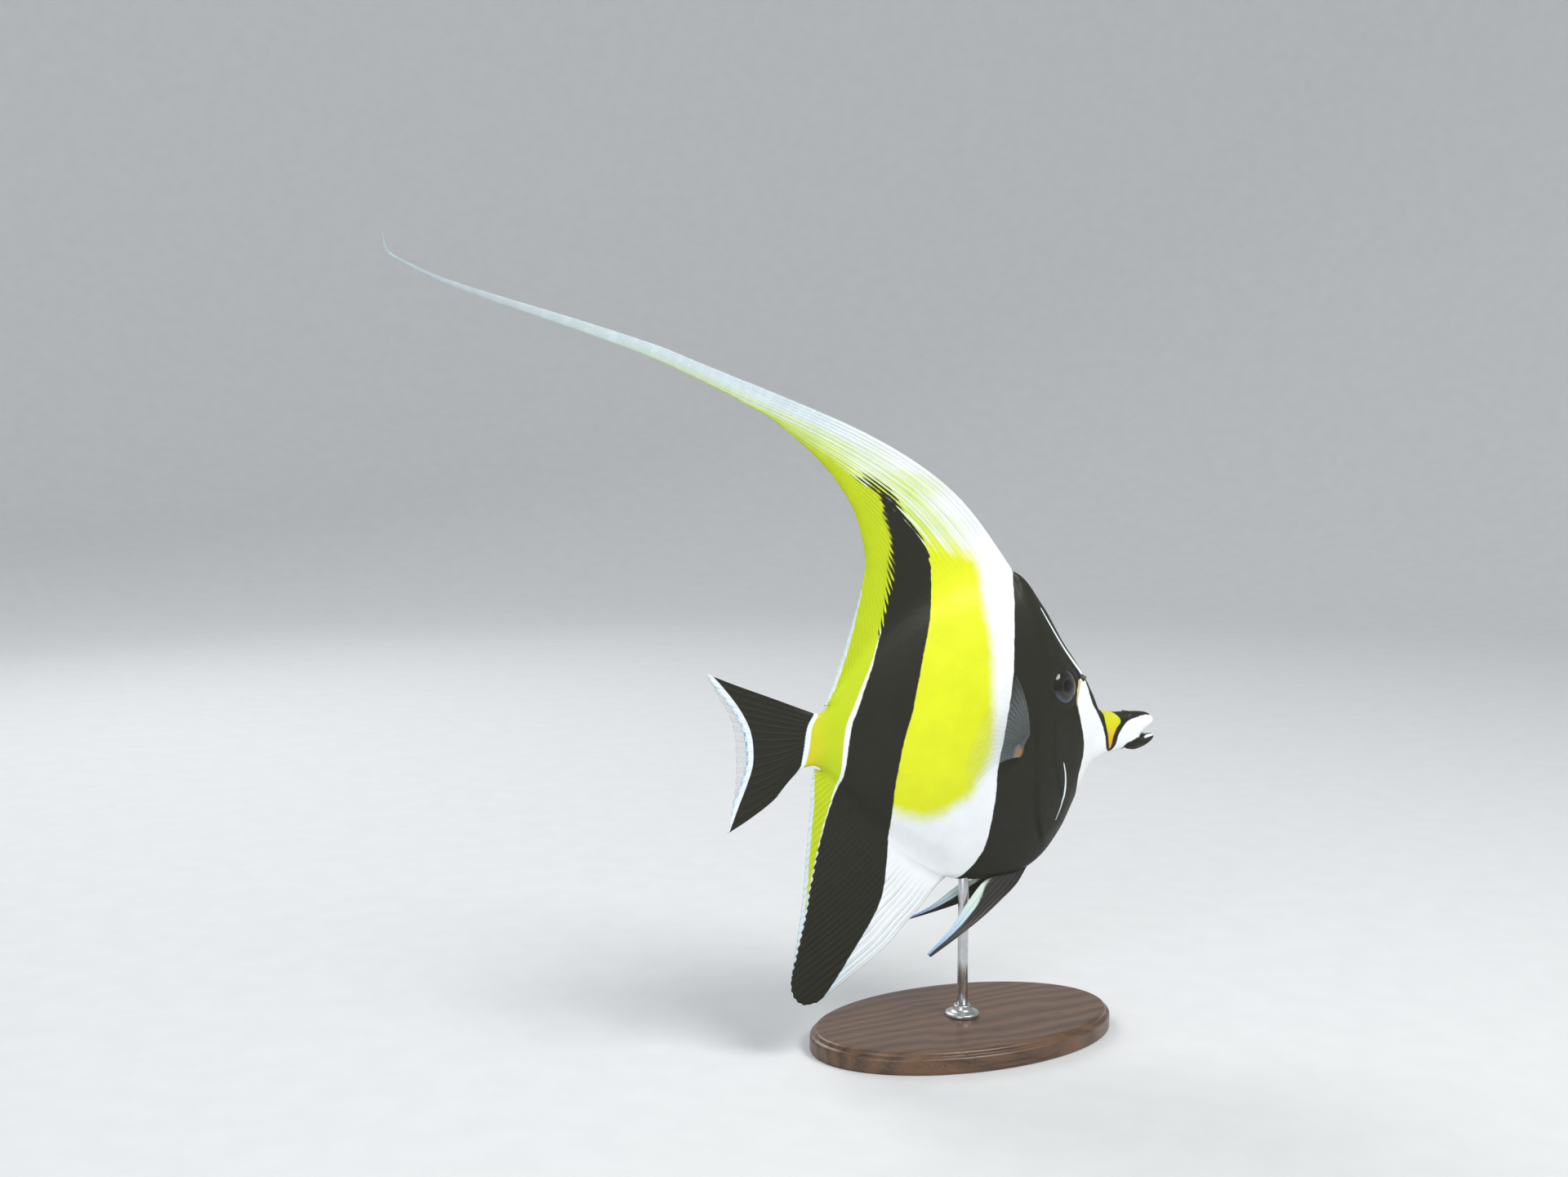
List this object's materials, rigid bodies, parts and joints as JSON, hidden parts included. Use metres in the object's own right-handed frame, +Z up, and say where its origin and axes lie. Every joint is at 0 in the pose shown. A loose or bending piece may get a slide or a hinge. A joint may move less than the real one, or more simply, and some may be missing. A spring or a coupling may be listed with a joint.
{
  "type": "moorish idol fish model",
  "caption": "Life-size moorish idol with banded disc-shaped body, long dorsal streamer, spread fins and open mouth, held over an oval base by a rod.",
  "frame": {"origin": "centre of the underside of the stand's base", "axes": "+X the way the fish swims, +Y towards its left side, +Z up"},
  "size_m": [0.302, 0.078, 0.2973],
  "materials": {
    "skin": "satin painted fish skin, lemon yellow, white and brown-black bands",
    "clear_fin": "thin see-through grey fin membrane",
    "eye": "wet, dark, glossy",
    "horn": "dull dark bone",
    "stand_wood": "dark oiled hardwood",
    "stand_metal": "brushed"
  },
  "bodies": {
    "root": {"head": "skin", "snout": "skin", "lower_jaw": "skin", "gill_cover_left": "skin", "gill_cover_right": "skin", "trunk": "skin", "peduncle": "skin", "dorsal_fin_front": "skin", "dorsal_fin_rear": "skin", "dorsal_filament_1": "skin", "dorsal_filament_2": "skin", "dorsal_filament_3": "skin", "anal_fin": "skin", "caudal_fin": "skin", "pelvic_fin_left": "skin", "pelvic_fin_right": "skin", "pectoral_fin_left": "clear_fin", "pectoral_fin_right": "clear_fin", "eye_left": "eye", "eye_right": "eye", "horn_left": "horn", "horn_right": "horn", "stand_base": "stand_wood", "stand_foot": "stand_metal", "stand_rod": "stand_metal"}
  },
  "joints": []
}
